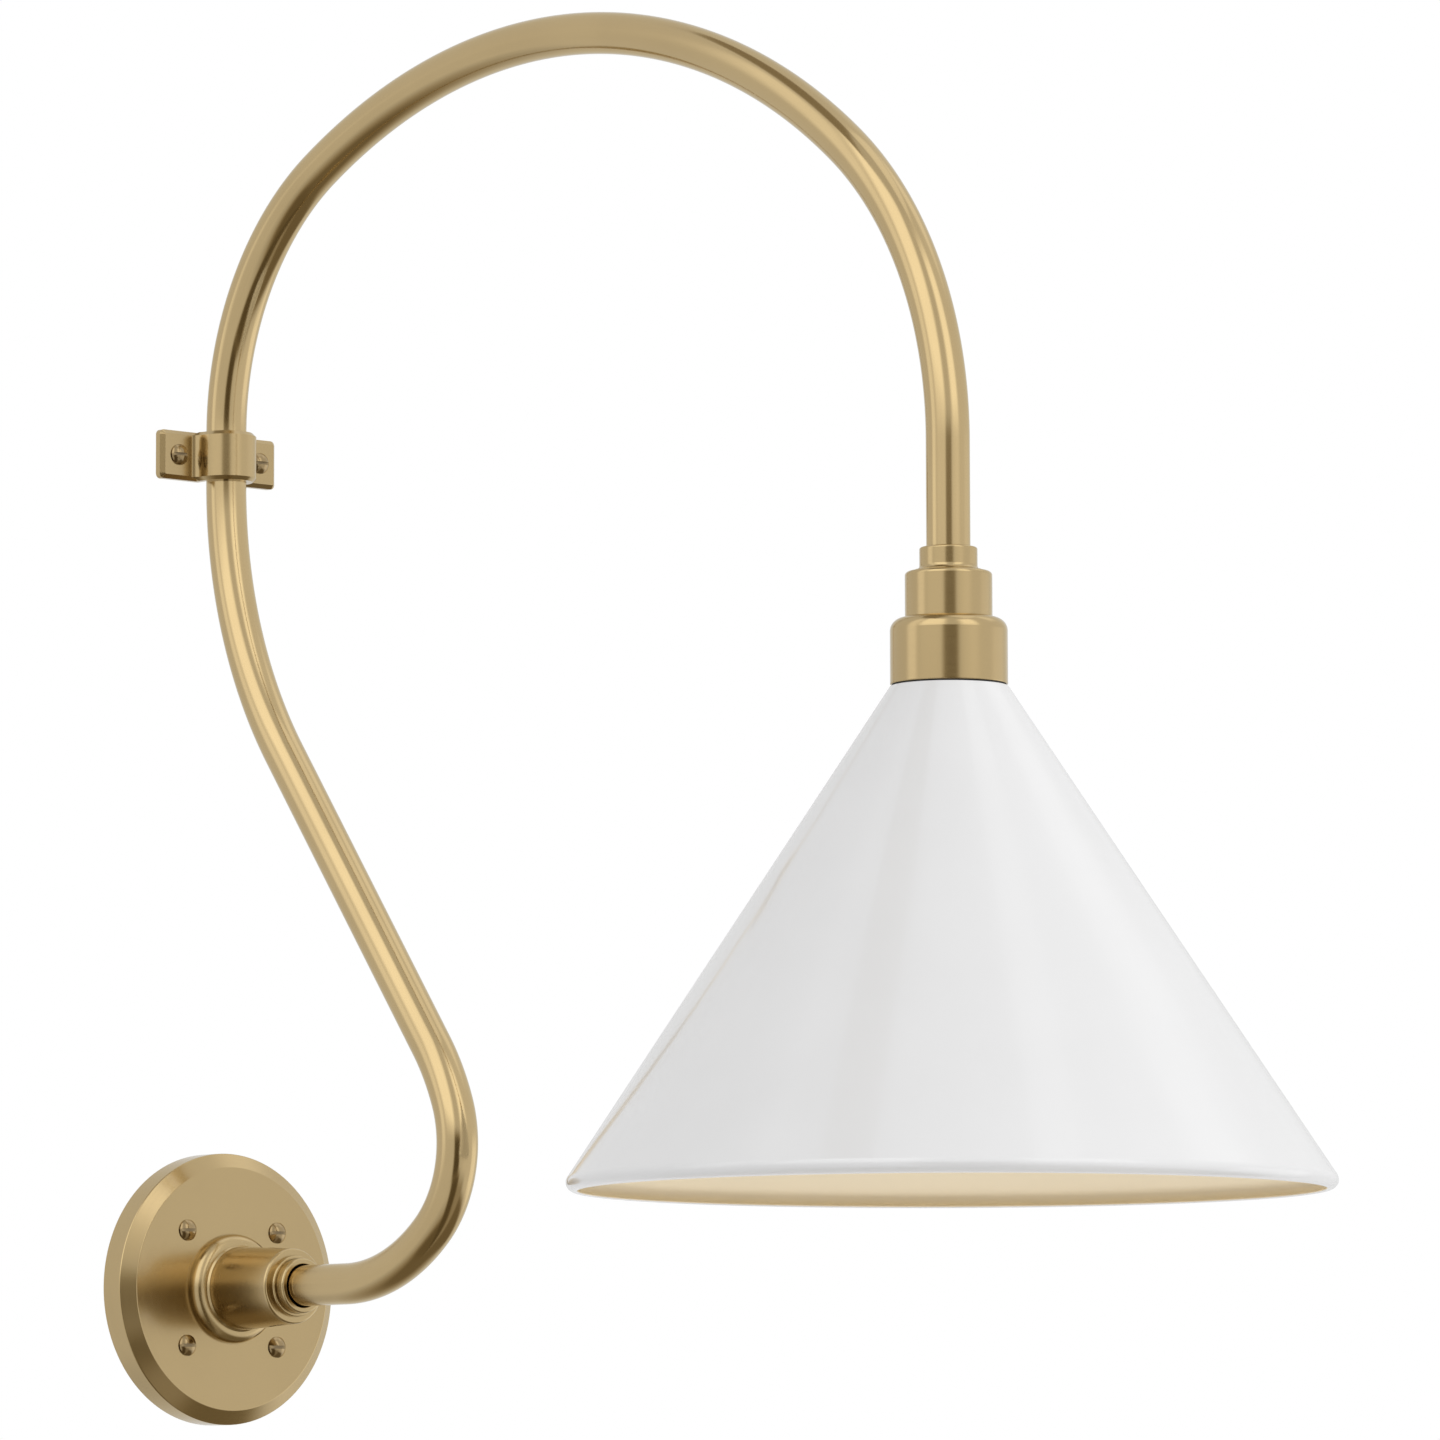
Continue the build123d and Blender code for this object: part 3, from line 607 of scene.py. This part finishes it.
# soft patches of the room: azimuth from the viewer and its half width, lowest and highest
# elevation, how far the edges fade (degrees), and the brightness within
ROOM = [
    (100, 62, -30, 58, 14, 1.08),
    (112, 18, -26, 4, 10, 1.60),
    (-79, 11, 1, 55, 9, 1.50),
    (-36, 26, 11, 64, 12, 1.95),
    (41, 18, 11, 54, 12, 1.95),
    (100, 45, -100, -36, 8, 0.28),
    (118, 15, 36, 60, 10, 1.45),
    (36, 26, -100, -25, 14, 0.52),
    (-15, 50, -100, -52, 12, 0.24),
    (-100, 56, 62, 100, 1, 0.42),
    (0, 44, 62, 100, 1, 0.90),
    (90, 46, 62, 100, 1, 1.40),
    (2, 15, -22, 9, 8, 0.15),
    (9, 18, -100, -20, 9, 0.17),
]
# elevations between which the room brightens upwards, and its brightness at each
ROOM_FALL = (-66, -30, 0.28, 0.97)
ROOM_LIGHT = 0.80
WHITE = (1, 1, 1)
NIGHT = (1.0, 0.80, 0.48)  # tint of the darkest patches
NIGHT_FROM, NIGHT_TO = 0.2, 0.8  # brightness at which the tint is full and gone


def put_world():
    """White behind the object, and a bright room with a dark gap where the viewer stands."""
    world = bpy.data.worlds.new("studio")
    bpy.context.scene.world = world
    world.use_nodes = True
    room = Nodes(world.node_tree)
    direction = world.node_tree.nodes.new("ShaderNodeTexCoord").outputs["Generated"]
    front = room.vector("DOT_PRODUCT", direction, away(VIEW_TURN, 0))
    side = room.vector("DOT_PRODUCT", direction, away(VIEW_TURN + math.pi / 2, 0))
    height = room.vector("DOT_PRODUCT", direction, (0, 0, 1))
    azimuth = room.math("MULTIPLY", room.math("ARCTAN2", side, front), math.degrees(1))
    elevation = room.math("MULTIPLY", room.math("ARCSINE", height), math.degrees(1))
    level = room.spread(elevation, *ROOM_FALL)
    for middle_at, half, low, high, fade, bright in ROOM:
        off = room.math("ABSOLUTE", room.math("SUBTRACT", azimuth, middle_at))
        across = room.spread(off, half - fade / 2, half + fade / 2, 1.0, 0.0)
        over = room.spread(elevation, low - fade / 2, low + fade / 2, 0.0, 1.0)
        under = room.spread(elevation, high - fade / 2, high + fade / 2, 1.0, 0.0)
        patch = room.math("MULTIPLY", across, room.math("MULTIPLY", over, under))
        change = room.math("MULTIPLY", patch, room.math("SUBTRACT", bright, level))
        level = room.math("ADD", level, change)
    tint = room.mix(room.spread(level, NIGHT_FROM, NIGHT_TO, 1.0, 0.0), WHITE, NIGHT)
    shown = room.vector("SCALE", tint, room.math("MULTIPLY", level, ROOM_LIGHT))
    seen = world.node_tree.nodes.new("ShaderNodeLightPath").outputs["Is Camera Ray"]
    background = world.node_tree.nodes["Background"].inputs["Color"]
    room.put(background, room.mix(seen, shown, WHITE))


FLOOR_HALF = 12.0
FLOOR_Z = -0.48
FLOOR_PAPER = (0.70, 0.70, 0.70)


def put_floor():
    ways = ((-1, -1), (1, -1), (1, 1), (-1, 1))
    corners = [(FLOOR_HALF * x, FLOOR_HALF * y, FLOOR_Z) for x, y in ways]
    mesh = bpy.data.meshes.new("floor")
    mesh.from_pydata(corners, [], [(0, 1, 2, 3)])
    floor = bpy.data.objects.new("floor", mesh)
    bpy.context.scene.collection.objects.link(floor)
    mesh.materials.append(Surface("floor_paper", FLOOR_PAPER, roughness=0.8).material)
    floor.visible_glossy = False


bpy.context.scene.view_settings.view_transform = "Standard"
put_camera()
put_world()
put_floor()
key_from = away(VIEW_TURN + math.radians(60), math.radians(12))
put_panel("right_key", key_from, VIEW_AT, distance=3.6, size=1.2, power=25.0)
mouth = Vector((*SHADE_AXIS, SHADE_LOW))
put_panel("mouth_fill", Vector((0, 0, -1)), mouth, distance=0.25, size=0.2, power=0.35)
